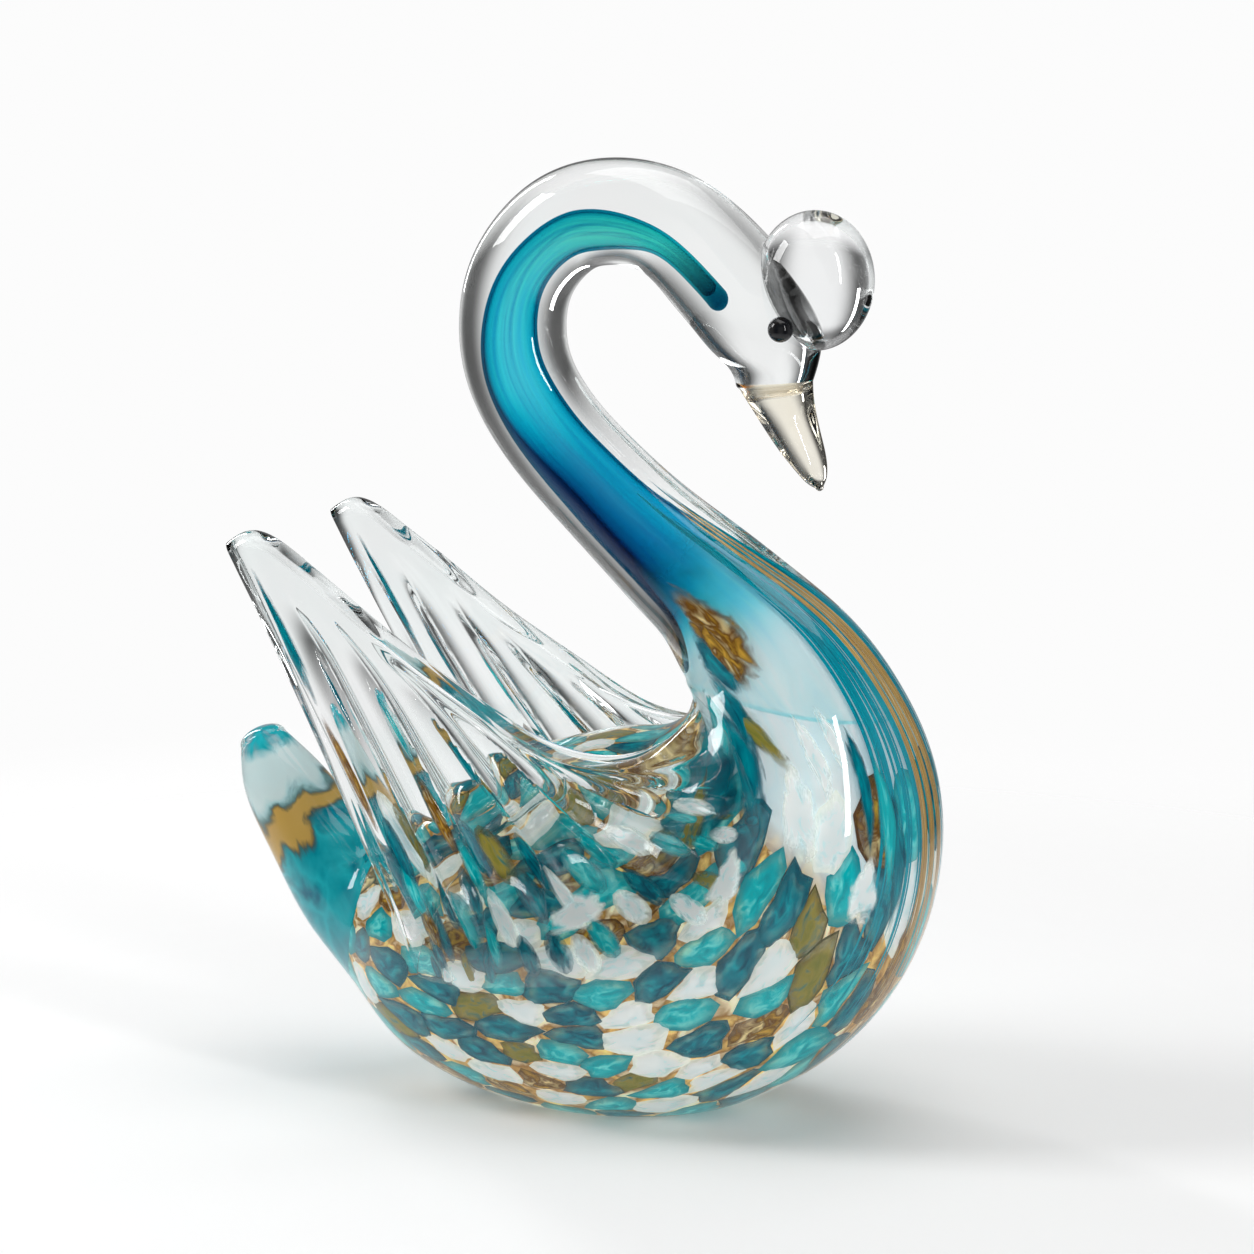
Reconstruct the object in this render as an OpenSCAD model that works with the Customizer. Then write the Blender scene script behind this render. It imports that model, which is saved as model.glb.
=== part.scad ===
// Swan figurine of solid cased art glass.
// Frame: +X towards the chest, +Y to the swan's left, +Z up, z = 0 on the ground foot,
// x = y = 0 at the middle of the foot. Millimetres.
// Every section of the body, neck, head, beak and tail is an ellipse. Its station gives the
// centre (x, z), the tilt of the section's outward axis in the XZ plane, the half height
// along that axis and the half width along Y. Stations are joined by a smooth spline.

/* [Overall] */
// Length of the body from the tail root to the front of the chest
body_len = 130; // [110:1:156]
// Height from the foot to the top of the neck's arch
swan_h = 200; // [170:1:240]
// Width of the body at its widest
body_w = 79; // [66:1:95]

/* [Neck and head] */
// Diameter of the neck
neck_d = 22.6; // [19:0.2:27.2]
// Thickness of the head across its eyes
head_w = 23; // [20:0.5:27]
// Height of the forehead knob
knob_h = 29; // [24:0.5:34]
// Thickness of the forehead knob from front to back
knob_d = 26; // [22:0.5:31]
// Length of the beak
beak_len = 23; // [19:0.5:27]
// Diameter of each eye bead
eye_d = 5.2; // [4.2:0.1:6.2]

/* [Glass layers] */
// Thickness of clear glass over the coloured layer on the body
casing_wall = 4.5; // [3.5:0.1:5.5]
// Thickness of clear glass over the coloured core in the neck
neck_wall = 6.8; // [5.7:0.1:8.1]
// Thickness of the drawn colour layer on the chest and neck
layer_t = 1.2; // [1:0.1:1.5]

/* [Frit chips] */
// Length of a chip along the swan
chip_len = 11; // [9:0.1:13.2]
// Width of a chip
chip_w = 7.6; // [6.3:0.1:9.2]
// Depth of a chip below the surface of the core
chip_depth = 2.4; // [2:0.1:3]

/* [Wings and tail] */
// Distance between the wing tips
tip_span = 53; // [44:1:64]
// Thickness of a wing at its rim
wing_t = 9; // [7.5:0.1:10.8]
// Depth of the grooves between the flutes
flute_depth = 2.2; // [1.8:0.1:2.7]
// Number of flutes on a wing
flutes = 8; // [6:1:10]
// Length of the tail beyond the body
tail_len = 45; // [37:1:54]

/* [Hidden] */

// Scale of the hand-chosen points to the driving dimensions
kx = body_len / 130;
ky = body_w / 79;
kz = swan_h / 200;
neck_r = neck_d / 2;
head_r = head_w / 2;

// Facets round a section, and rings from one station to the next
ring_n = 18;
skin_steps = 2;

// Body stations from the tail root to the base of the neck
body_stations = [for (q = [
        [-54, 36.5, -102, 17.5, 17.5], [-40, 37.5, -99, 30, 30.5], [-22, 37, -95, 38, 37],
        [0, 37.5, -90, 42.5, 39.5], [18, 40.5, -80, 41.5, 39], [33.5, 49.5, -67, 39.5, 37],
        [42.5, 62, -51, 36, 33.5], [45.5, 75, -34, 31, 29], [43.5, 85, -18, 27, 25],
        [40, 92.5, -4, 23, 21.5], [33.5, 101, 14, 19, 17.5]
    ]) [q[0] * kx, q[1] * kz, q[2], q[3] * kz, q[4] * ky]];

// Neck stations; their size is a multiple of the neck's own radius
neck_stations = [for (q = [
        [25, 109, 29, 1.36, 1.3], [16, 116, 43, 1.2, 1.15], [5.5, 124.5, 47, 1.08, 1.06],
        [-5.5, 134.5, 45, 1.02, 1.02], [-14, 143.5, 36, 1, 1], [-20.5, 154, 20, 1, 1], [-22.5, 165, 0, 1, 1],
        [-20, 176, -23, 0.99, 0.99], [-12.5, 185, -48, 0.98, 0.98], [-4, 188.7, -75, 0.98, 0.98],
        [5, 188.9, -97, 0.98, 0.98], [14, 185.7, -120, 1, 1]
    ]) [q[0] * kx, q[1] * kz, q[2], q[3] * neck_r, q[4] * neck_r]];

// Head stations down to the joint with the beak; multiples of the head's own radius
head_stations = [for (q = [
        [22, 179, -135, 1.04, 1], [28.5, 172, -147, 1.06, 1.02], [33.3, 165, -160, 1.02, 0.96],
        [35.2, 159, -172, 0.82, 0.78], [35.2, 155, -177, 0.7, 0.62]
    ]) [q[0] * kx, q[1] * kz, q[2], q[3] * head_r, q[4] * head_r]];

// Beak stations from the joint with the head; places count from the joint
beak_k = beak_len / 23;
beak_stations = [for (q = [
        [0, 0, -177, 0.7, 0.62], [2.5, -6, -170, 0.52, 0.47], [5.3, -11.8, -163, 0.4, 0.39],
        [7.7, -16.3, -160, 0.3, 0.32], [9.2, -19.6, -160, 0.19, 0.22], [9.9, -21.3, -160, 0.07, 0.08]
    ]) let (joint = head_stations[len(head_stations) - 1])
        [joint[0] + q[0] * beak_k, joint[1] + q[1] * beak_k, q[2], q[3] * head_r, q[4] * head_r]];

// Tail stations from the tail root of the body; places count from the root
tail_k = tail_len / 45;
tail_stations = concat([body_stations[0]], [for (q = [
        [-9, 7, -118, 13.5, 13.5], [-16, 16, -135, 10.8, 11], [-22.5, 25.5, -150, 9, 9.3],
        [-26, 31.5, -155, 7, 7.3], [-28, 35.5, -155, 3, 3]
    ]) let (root = body_stations[0])
        [root[0] + q[0] * tail_k, root[1] + q[1] * tail_k, q[2], q[3] * kz, q[4] * ky]]);

stations = concat(body_stations, neck_stations, head_stations);
s_head = len(body_stations) + len(neck_stations);
s_end = len(stations) - 1;

// The colour layer starts at the shoulders; the neck's own core starts above it
s_chest = 6.5;
s_throat = 11.5;
s_core_end = s_head + 1;
// How far the core lies off the neck's middle: towards the nape in the neck, the throat in the head
nape_shift = 0.8;
throat_shift = 2.6;

// Catmull-Rom spline through a list of rows, at position s counted in rows
function row(rows, i) = rows[min(max(i, 0), len(rows) - 1)];
function blend(a, b, c, d, u) = 0.5 * (2 * b + (c - a) * u + (2 * a - 5 * b + 4 * c - d) * u * u
    + (3 * b - a - 3 * c + d) * u * u * u);
function along(rows, s) = let (i = min(floor(s), len(rows) - 2))
    blend(row(rows, i - 1), row(rows, i), row(rows, i + 1), row(rows, i + 2), s - i);

// Smooth step from 0 at a to 1 at b
function ease(a, b, s) = let (u = min(max((s - a) / (b - a), 0), 1)) u * u * (3 - 2 * u);

// Point on a section, at angle phi from its outward axis, drawn in by a depth, above a floor
function section_point(q, phi, depth, floor_z) =
    [q[0] + (q[3] - depth) * cos(phi) * cos(q[2]),
     (q[4] - depth) * sin(phi),
     max(q[1] + (q[3] - depth) * cos(phi) * sin(q[2]), floor_z)];
function ring(q, depth, floor_z) =
    [for (k = [0:ring_n - 1]) section_point(q, 360 * k / ring_n, depth, floor_z)];

// Depth of the coloured core below the skin at station s, and the core's rounded upper end
function core_depth(s) = casing_wall + (neck_wall - casing_wall) * ease(s_chest, s_throat, s);
// The rod inside the tube ends a little before the tube does
rod_short = 0.15;
function tip_end(inset) = s_core_end - (inset > 0 ? rod_short : 0);
function end_taper(s, inset) = let (u = min(max(s - tip_end(inset) + 1, 0), 1)) sqrt(max(1 - u * u, 0.01));
function core_shift(s) = -nape_shift * ease(s_throat, s_throat + 2, s)
    + (nape_shift + throat_shift) * ease(s_core_end - 6, s_core_end, s);
function core_row(s, inset) = let (q = along(stations, s), d = core_depth(s) + inset,
        f = end_taper(s, inset), g = core_shift(s))
    [q[0] + g * cos(q[2]), q[1] + g * sin(q[2]), q[2], (q[3] - d) * f, (q[4] - d) * f];
function core_ring(s, inset) = ring(core_row(s, inset), 0, casing_wall + inset);

// Closed solid through rings of equal length. Each four-sided patch is split along its shorter
// diagonal, so that two solids that share a surface share its facets too. The ring of a curved
// strip goes out along one side and back along the other, and its ends are closed across.
module loft(rings, is_strip = false) {
    n = len(rings[0]);
    m = len(rings);
    points = [for (r = rings) each r];
    walls = [for (i = [0:m - 2], k = [0:n - 1]) let (a = i * n + k, b = i * n + (k + 1) % n)
        each norm(points[b] - points[a + n]) < norm(points[a] - points[b + n])
            ? [[b, a, a + n], [b, a + n, b + n]]
            : [[b, a, b + n], [a, a + n, b + n]]];
    first = is_strip
        ? [for (k = [0:n / 2 - 2]) each [[k, k + 1, n - 2 - k], [k, n - 2 - k, n - 1 - k]]]
        : [[for (k = [0:n - 1]) k]];
    last = [for (f = first) [for (k = [len(f) - 1:-1:0]) (m - 1) * n + f[k]]];
    polyhedron(points, concat(first, walls, last));
}

// A melted joint has no true curve, so the shape is kept as one mesh
module melted() {
    resize([0, 0, 0]) children();
}

function steps(a, b, n) = [for (i = [0:n]) a + (b - a) * i / n];
function span_steps(a, b) = steps(a, b, round((b - a) * skin_steps));
function skin_rings(a, b) = [for (s = span_steps(a, b)) ring(along(stations, s), 0, 0)];
function core_rings(a, b, inset) = [for (s = span_steps(a, b)) core_ring(s, inset)];
function tip_rings(inset) = [for (s = steps(s_core_end - 0.75, tip_end(inset), 3)) core_ring(s, inset)];
// Rings of the core from station a to its rounded end in the head
function core_to_tip(a, inset) = concat(core_rings(a, s_core_end - 1, inset), tip_rings(inset));
function reversed(rows) = [for (i = [len(rows) - 1:-1:0]) rows[i]];

module skin() {
    loft(skin_rings(0, s_end));
}

// Outer glass: one gather drawn from the body into the neck and head, open at the tail root
module clear_casing() {
    color([0.9, 0.96, 0.97, 0.35])
    melted()
    difference() {
        loft(concat(reversed(core_to_tip(0, 0)), skin_rings(0, s_end)));
        eye_bead(1);
        eye_bead(-1);
    }
}

// Chips: rows round the core, half a pitch out of step. A row holds as many chips as its girth
// has room for, and a chip is shortened where the rows draw together at the saddle.
chip_pitch = 1.75 * chip_w;
chip_rows = 8;
chip_first_s = 0.35;
chip_last_s = 6.05;
chip_row_ds = (chip_last_s - chip_first_s) / chip_rows;
function girth(q) = PI * (q[3] + q[4]);
row_counts = [for (r = [0:chip_rows - 1])
    floor(girth(core_row(chip_first_s + (r + 0.5) * chip_row_ds, 0)) / chip_pitch)];
chip_spots = [for (r = [0:chip_rows - 1], k = [0:row_counts[r] - 1])
    [chip_first_s + (r + 0.5) * chip_row_ds, 360 * (k + 0.5 * (r % 2)) / row_counts[r], k + 4 * r]];
chip_jitter = rands(-1, 1, len(chip_spots) * 2, 41);
// A chip is cut from a block that starts this far outside the core
chip_proud = 1.5;
// Colours are dealt out in this order: white, aqua, teal, amber, olive
chip_deal = [0, 1, 2, 1, 3, 0, 1, 4, 2, 1, 0, 3, 1];
function chip_colour(i) = chip_deal[chip_spots[i][2] % len(chip_deal)];

// One chip at (s, phi) on the core: a long hexagon, narrower inwards, turned along the flow
module chip(i) {
    s = chip_spots[i][0] + 0.04 * chip_jitter[2 * i];
    phi = chip_spots[i][1];
    q = core_row(s, 0);
    p = section_point(q, phi, 0, casing_wall);
    flow = section_point(core_row(s + 0.1, 0), phi, 0, casing_wall) - p;
    across = section_point(q, phi + 2, 0, casing_wall) - p;
    u = flow / norm(flow);
    inward = let (c = cross(u, across)) -c / norm(c);
    v = cross(inward, u);
    size = 0.9 + 0.1 * chip_jitter[2 * i + 1];
    length = min(chip_len, 8.5 * norm(flow) * chip_row_ds);
    multmatrix([[u[0], v[0], inward[0], p[0]], [u[1], v[1], inward[1], p[1]],
                [u[2], v[2], inward[2], p[2]]])
    translate([0, 0, -chip_proud])
    scale([size * length, size * chip_w, 1])
    cylinder(h = chip_depth + chip_proud, d1 = 1, d2 = 0.6, $fn = 6);
}

module core_body() {
    loft(concat(core_rings(0, s_chest, 0), core_rings(s_chest, s_throat, layer_t)));
}

// Chips of one colour, rolled flush into the core's surface
module frit(colour_index) {
    melted()
    intersection() {
        loft(core_rings(0, s_chest, 0));
        union() {
            for (i = [0:len(chip_spots) - 1]) {
                if (chip_colour(i) == colour_index) chip(i);
            }
        }
    }
}

// Clear glass of the first gather, with a pocket for every chip
module body_core() {
    color([0.85, 0.95, 0.93, 0.35])
    melted()
    difference() {
        core_body();
        for (i = [0:len(chip_spots) - 1]) chip(i);
    }
}

module white_frit() {
    color([0.97, 0.97, 0.95]) frit(0);
}

module aqua_frit() {
    color([0.1, 0.65, 0.68]) frit(1);
}

module teal_frit() {
    color([0.02, 0.38, 0.45]) frit(2);
}

module amber_frit() {
    color([0.78, 0.55, 0.16]) frit(3);
}

module olive_frit() {
    color([0.45, 0.45, 0.18]) frit(4);
}

// Drawn colour layer of the chest: sectors of a thin shell over the core, by angle from the throat
facet = 360 / ring_n;
gold_half = facet;
teal_half = 4 * facet;

module layer_sector(phi_a, phi_b) {
    n = round((phi_b - phi_a) / facet);
    angles = steps(phi_a, phi_b, n);
    loft([for (s = span_steps(s_chest, s_throat))
        concat([for (a = angles) section_point(core_row(s, 0), a, 0, 0)],
               [for (k = [n:-1:0]) section_point(core_row(s, layer_t), angles[k], 0, 0)])],
        is_strip = true);
}

module gold_ribbon() {
    color([0.8, 0.58, 0.2]) layer_sector(-gold_half, gold_half);
}

module teal_ribbons() {
    color([0.02, 0.42, 0.55]) {
        layer_sector(gold_half, teal_half);
        layer_sector(-teal_half, -gold_half);
    }
}

module white_veil() {
    color([0.9, 0.94, 0.95]) layer_sector(teal_half, 360 - teal_half);
}

// Turquoise tube of the neck, closed at its rounded end in the head
module neck_colour() {
    color([0, 0.65, 0.75])
    loft(concat(reversed(core_to_tip(s_throat, layer_t)), core_to_tip(s_throat, 0)));
}

// Clear rod that the turquoise tube covers
module neck_core() {
    color([0.75, 0.95, 0.97, 0.35]) loft(core_to_tip(s_throat, layer_t));
}

// Forehead knob: a dome of clear glass melted on to the brow
knob_s = s_head + 1.5;
knob_proud = 0.5;
module forehead_knob() {
    centre = section_point(along(stations, knob_s), 180, -knob_proud, 0);
    color([0.92, 0.97, 0.98, 0.35])
    melted()
    difference() {
        translate(centre) scale([knob_d / 2, knob_d * 0.46, knob_h / 2]) sphere(r = 1, $fn = 26);
        skin();
        eye_bead(1);
        eye_bead(-1);
    }
}

// Beak: drawn from the end of the head to a rounded tip
beak_steps = 2;
module beak() {
    last = len(beak_stations) - 1;
    color([0.85, 0.7, 0.4, 0.5])
    loft([for (s = steps(0, last, last * beak_steps)) ring(along(beak_stations, s), 0, 0)]);
}

// Eyes: round beads, half sunk in the glass at the sides of the head
eye_s = s_head + 1.95;
eye_phi = 124;
module eye_bead(side) {
    translate(section_point(along(stations, eye_s), side * eye_phi, 0, 0)) sphere(d = eye_d, $fn = 18);
}

module eye_left() {
    color([0.03, 0.03, 0.03]) eye_bead(1);
}

module eye_right() {
    color([0.03, 0.03, 0.03]) eye_bead(-1);
}

// Tail: a lobe of clear glass over a coloured core, melted on to the tail root
tail_steps = 3;
tail_last = len(tail_stations) - 1;
tail_core_last = tail_last - 0.7;
function tail_skin_rings() = [for (s = steps(0, tail_last, tail_last * tail_steps))
    ring(along(tail_stations, s), 0, 0)];
function tail_core_rings() = [for (s = steps(0, tail_core_last, 10))
    let (q = along(tail_stations, s), f = sqrt(1 - 0.9 * pow(s / tail_core_last, 4)))
    ring([q[0], q[1], q[2], (q[3] - casing_wall) * f, (q[4] - casing_wall) * f], 0, casing_wall)];

module tail() {
    color([0.9, 0.96, 0.97, 0.35]) loft(concat(reversed(tail_skin_rings()), tail_core_rings()));
}

module tail_core() {
    color([0.1, 0.6, 0.65]) loft(reversed(tail_core_rings()));
}

// Wings: each section runs from the free rim down to an outer root on the flank and an inner
// root on the back. Rows go from the neck base to the wing tip and on round its rear edge.
wing_rim = [[25, 17, 89], [15, 23, 80], [3, 26, 78.5], [-9, 27, 82], [-20, 27.5, 89],
            [-31, 27.5, 96], [-42, 27, 103.5], [-52, 27, 111], [-61, 26.5, 117.5], [-70, 26.5, 122.5],
            [-77, 26.5, 119.5]];
// Roots as station and angle on the skin
wing_outer_root = [[6.8, 100], [6.4, 94], [5.8, 91], [5.1, 89], [4.4, 88], [3.7, 87], [3.1, 85],
                   [2.6, 83], [2.2, 80], [1.8, 77], [1.5, 74]];
wing_inner_root = [[8.6, 145], [7.6, 152], [6.5, 155], [5.4, 155], [4.6, 153], [3.8, 150],
                   [3.1, 147], [2.5, 142], [2, 137], [1.6, 130], [1.3, 124]];
root_sink = 2;
wing_bulge = 5;
// Places down a section, closer together round the rim
rim_places = [0, 0.012, 0.05, 0.11, 0.2, 0.32, 0.46, 0.6, 0.74, 0.88, 1];
rim_round = 0.11;
steps_per_flute = 6;

function rim_scale(a) = ky + (tip_span / 53 - ky) * a;
function rim_point(a) = let (p = along(wing_rim, (len(wing_rim) - 1) * a))
    [p[0] * kx, p[1] * rim_scale(a), p[2] * kz];
function root_point(rows, a) = let (r = along(rows, (len(rows) - 1) * a))
    section_point(along(stations, r[0]), r[1], root_sink, 0);
// A rounded end: the sections thin out over the last part of the wing
function end_thin(a) = sqrt(max(1 - pow(max(a - 0.95, 0) / 0.05, 2), 0.02));
function wing_side(a, b, rows, out) =
    let (m = rim_point(a), r = root_point(rows, a), c = (m + r) / 2 + [0, wing_bulge, 0] * end_thin(a),
         round_in = b < rim_round ? sqrt(1 - pow(1 - b / rim_round, 2)) : 1,
         groove = flute_depth * (1 - abs(sin(180 * flutes * a))) * ease(0.02, 0.2, b) * (1 - ease(0.7, 1, b)),
         half = (wing_t / 2 * round_in - groove * (out > 0 ? 1 : 0.5)) * (1 - b) * end_thin(a))
    m * (1 - b) * (1 - b) + c * 2 * b * (1 - b) + r * b * b + [0, out * half, 0];
function wing_section(a) = concat(
    [for (b = rim_places) wing_side(a, b, wing_outer_root, 1)],
    [for (i = [len(rim_places) - 1:-1:1]) wing_side(a, rim_places[i], wing_inner_root, -1)]);

module wing() {
    color([0.92, 0.97, 0.98, 0.35])
    melted()
    difference() {
        loft([for (a = steps(0, 1, flutes * steps_per_flute)) wing_section(a)]);
        skin();
    }
}

module wing_left() {
    wing();
}

module wing_right() {
    mirror([0, 1, 0]) wing();
}

clear_casing();
body_core();
white_frit();
aqua_frit();
teal_frit();
amber_frit();
olive_frit();
gold_ribbon();
teal_ribbons();
white_veil();
neck_colour();
neck_core();
forehead_knob();
beak();
eye_left();
eye_right();
wing_left();
wing_right();
tail();
tail_core();
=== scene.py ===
# %% [markdown]
# # A swan of cased art glass
# The object is a solid glass swan: a clear outer gather over chips of coloured glass, a
# turquoise core drawn up the neck, two fluted clear wings, a knob on the brow and a beak.
# The imported CAD model is loaded first and is the frame that everything else fits.
# Its box is measured here, before anything is added.

# %% Load the frame
import math
import bpy
import bmesh
import numpy as np
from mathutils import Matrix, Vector
from mathutils.bvhtree import BVHTree


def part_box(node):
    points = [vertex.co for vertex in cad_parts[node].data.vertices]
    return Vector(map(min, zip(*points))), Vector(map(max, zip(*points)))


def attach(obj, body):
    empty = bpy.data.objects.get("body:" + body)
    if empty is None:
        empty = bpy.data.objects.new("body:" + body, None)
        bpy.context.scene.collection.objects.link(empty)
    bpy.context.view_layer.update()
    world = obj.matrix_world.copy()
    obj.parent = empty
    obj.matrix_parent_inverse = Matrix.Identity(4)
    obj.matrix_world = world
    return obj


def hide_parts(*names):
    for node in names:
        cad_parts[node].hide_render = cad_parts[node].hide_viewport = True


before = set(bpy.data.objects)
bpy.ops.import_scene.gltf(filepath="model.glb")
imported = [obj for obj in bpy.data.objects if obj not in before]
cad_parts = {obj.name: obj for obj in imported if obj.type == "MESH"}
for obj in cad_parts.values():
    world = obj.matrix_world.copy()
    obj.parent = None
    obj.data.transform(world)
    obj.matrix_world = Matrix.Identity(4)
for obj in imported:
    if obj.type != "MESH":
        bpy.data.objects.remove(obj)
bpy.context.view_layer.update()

# %% [markdown]
# ## One unit for the whole swan
# The CAD gives its sections in millimetres for a swan 200.3 mm tall. Blender works in metres.
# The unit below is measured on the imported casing, so the pieces keep to its real height.

# %% The swan's own millimetre
casing_low, casing_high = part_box("clear_casing")
CASING_TALL = 200.3
mm = (casing_high.z - casing_low.z) / CASING_TALL
print("one swan millimetre is", round(mm, 7), "m")

# %% [markdown]
# ## The sections of the swan
# A glass swan is drawn from one gather, so its outline is one smooth sweep from the tail tip
# to the beak. It could be modelled by pulling a subdivided cage about. Here it is a list of
# elliptical sections, as in the CAD: centre x, centre z, tilt, half height, half width.
# A cubic spline with steady curvature joins them, because glass shows every kink of its
# surface as a broken highlight.

# %% Sections and the spline that joins them
TAIL_ROWS = [(-82, 72, -155, 5.2, 5.2), (-80, 68, -155, 7, 7.3), (-76.5, 62, -150, 9, 9.3),
             (-70, 52.5, -135, 10.8, 11), (-63, 43.5, -118, 13.5, 13.5)]
BODY_ROWS = [(-54, 36.5, -102, 17.5, 17.5), (-40, 37.5, -99, 30, 30.5), (-22, 37, -95, 38, 37),
             (0, 37.5, -90, 42.5, 39.5), (18, 40.5, -80, 41.5, 39), (33.5, 49.5, -67, 39.5, 37),
             (42.5, 62, -51, 36, 33.5), (45.5, 75, -34, 31, 29), (43.5, 85, -18, 27, 25),
             (40, 92.5, -4, 23, 21.5), (33.5, 101, 14, 19, 17.5)]
NECK_R = 11.3
NECK_ROWS = [(25, 109, 29, 1.36, 1.3), (16, 116, 43, 1.2, 1.15), (5.5, 124.5, 47, 1.08, 1.06),
             (-5.5, 134.5, 45, 1.02, 1.02), (-14, 143.5, 36, 1, 1), (-20.5, 154, 20, 1, 1),
             (-22.5, 165, 0, 1, 1), (-20, 176, -23, .99, .99), (-12.5, 185, -48, .98, .98),
             (-4, 188.7, -75, .98, .98), (5, 188.9, -97, .98, .98), (14, 185.7, -120, 1, 1)]
HEAD_R = 11.5
HEAD_ROWS = [(22, 179, -135, 1.04, 1), (28.5, 172, -147, 1.06, 1.02), (33.3, 165, -160, 1.02, .96),
             (35.2, 159, -172, .82, .78), (35.2, 155, -177, .7, .62)]


def sized(rows, radius):
    return [(x, z, tilt, h * radius, w * radius) for x, z, tilt, h, w in rows]


def spline(rows):
    """A smooth curve through rows of numbers, as a function of the row number."""
    y = np.array(rows, float)
    n = len(y)
    a, r = np.eye(n), np.zeros_like(y)
    for i in range(1, n - 1):
        a[i, i - 1:i + 2] = 1, 4, 1
        r[i] = 6 * (y[i - 1] - 2 * y[i] + y[i + 1])
    bend = np.linalg.solve(a, r)

    def at(s):
        s = np.clip(np.asarray(s, float), 0, n - 1)
        i = np.minimum(s.astype(int), n - 2)
        t = (s - i)[..., None]
        return (y[i] * (1 - t) + y[i + 1] * t + ((1 - t) ** 3 - (1 - t)) * bend[i] / 6
                + (t ** 3 - t) * bend[i + 1] / 6)
    return at


swan_rows = TAIL_ROWS + BODY_ROWS + sized(NECK_ROWS, NECK_R) + sized(HEAD_ROWS, HEAD_R)
swan_curve = spline(swan_rows)
TAIL_N, HEAD_S, END_S = len(TAIL_ROWS), len(BODY_ROWS) + len(NECK_ROWS), 27


def section(s):
    """The section at station s; the tail root is 0 and the tail's own stations are below it."""
    return swan_curve(np.asarray(s, float) + TAIL_N)


def ease(a, b, x):
    t = np.clip((x - a) / (b - a), 0, 1)
    return t * t * (3 - 2 * t)


def section_point(q, phi, depth=0.0, floor=0.0, ahead=0.0, shrink=1.0):
    """A point on a section at angle phi from the throat side, drawn in by a depth."""
    tilt = np.radians(q[..., 2])
    reach = (q[..., 3] - depth) * shrink * np.cos(phi)
    x = q[..., 0] + reach * np.cos(tilt) - ahead * np.sin(tilt)
    y = (q[..., 4] - depth) * shrink * np.sin(phi)
    z = q[..., 1] + reach * np.sin(tilt) + ahead * np.cos(tilt) - floor
    z = floor + 0.5 * (z + np.sqrt(z * z + 1.4))
    return np.stack([x, y, z], -1) * mm


print(len(swan_rows), "sections; top of the arch", round(float(section_point(section(20.5), np.pi)[2]), 4))

# %% [markdown]
# ## Bending a grid
# Every drawn form here is a closed skin of rings. `create_grid` makes a flat sheet, each of its
# points is carried to its place on the swan, and welding the doubles closes the seam and
# the poles. The sheet's u and v stay on it as a UV map, so streaks can follow the flow.

# %% Helpers that make a piece
def new_mesh():
    """An empty bmesh with a UV map."""
    bm = bmesh.new()
    bm.loops.layers.uv.new("UVMap")
    return bm


def bent_grid(bm, surface, around, along, flip=False):
    """Adds a grid to bm and carries each point (u, v) to surface(u, v). Returns its vertices."""
    made = bmesh.ops.create_grid(bm, x_segments=around, y_segments=along, size=0.5)["verts"]
    flow = bm.loops.layers.uv.get("UVMap")
    u = np.array([p.co.x + 0.5 for p in made])
    v = np.array([p.co.y + 0.5 for p in made])
    place = {p: k for k, p in enumerate(made)}
    for f in {f for p in made for f in p.link_faces}:
        for loop in f.loops:
            k = place[loop.vert]
            loop[flow].uv = (u[k], v[k])
    for p, co in zip(made, surface(u, v)):
        p.co = co
    bmesh.ops.remove_doubles(bm, verts=made, dist=2e-6)
    made = [p for p in made if p.is_valid]
    faces = list({f for p in made for f in p.link_faces})
    bmesh.ops.recalc_face_normals(bm, faces=faces)
    if flip:
        bmesh.ops.reverse_faces(bm, faces=faces)
    return made


SHARP = math.radians(62)
print("edges sharper than", round(math.degrees(SHARP)), "degrees stay sharp")


def finish_piece(bm, name, material, slot, *nodes):
    """Turns bm into a smooth object that rides on the body and stands for its CAD nodes."""
    mesh = bpy.data.meshes.new(name)
    for edge in bm.edges:
        if len(edge.link_faces) == 2 and edge.calc_face_angle() > SHARP:
            edge.smooth = False
    for f in bm.faces:
        f.smooth = True
    bm.to_mesh(mesh)
    bm.free()
    piece = bpy.data.objects.new(name, mesh)
    bpy.context.scene.collection.objects.link(piece)
    mesh.materials.append(material)
    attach(piece, "root")
    if nodes:
        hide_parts(*nodes)
    print(name, len(mesh.polygons), "faces")
    return piece


def tube(s_from, s_to, depth, dome_from=1.0, dome_to=1.0, row=section, cap=0.03):
    """surface(u, v) of a closed tube from one station to another, with domed ends."""
    def surface(u, v):
        s = s_from + (s_to - s_from) * np.clip((v - cap) / (1 - 2 * cap), 0, 1)
        d = depth(s) if callable(depth) else depth
        q = row(s)
        start = np.clip(1 - v / cap, 0, 1) * np.pi / 2
        end = np.clip(1 - (1 - v) / cap, 0, 1) * np.pi / 2
        ahead = (q[..., 3] - d) * (dome_to * np.sin(end) - dome_from * np.sin(start))
        return section_point(q, 2 * np.pi * u, d, d, ahead, np.cos(start) * np.cos(end))
    return surface


# %% [markdown]
# ## Node groups that several glasses share
# Hand-made glass is never one flat colour. Two small groups carry what the glasses share:
# `streaked tint` drifts between three tones along the flow, and `fire polish` gives the slow
# waves that a flame leaves on a surface. Each puts out only a colour or a height.

# %% Shader helpers and groups
def group(name, ins, outs):
    """An empty node group with the named inputs and outputs."""
    g = bpy.data.node_groups.new(name, "ShaderNodeTree")
    for kind, label, value in ins:
        socket = g.interface.new_socket(label, in_out="INPUT", socket_type=kind)
        if value is not None:
            socket.default_value = value
    for kind, label in outs:
        g.interface.new_socket(label, in_out="OUTPUT", socket_type=kind)
    return g, g.nodes.new("NodeGroupInput"), g.nodes.new("NodeGroupOutput")


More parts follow.
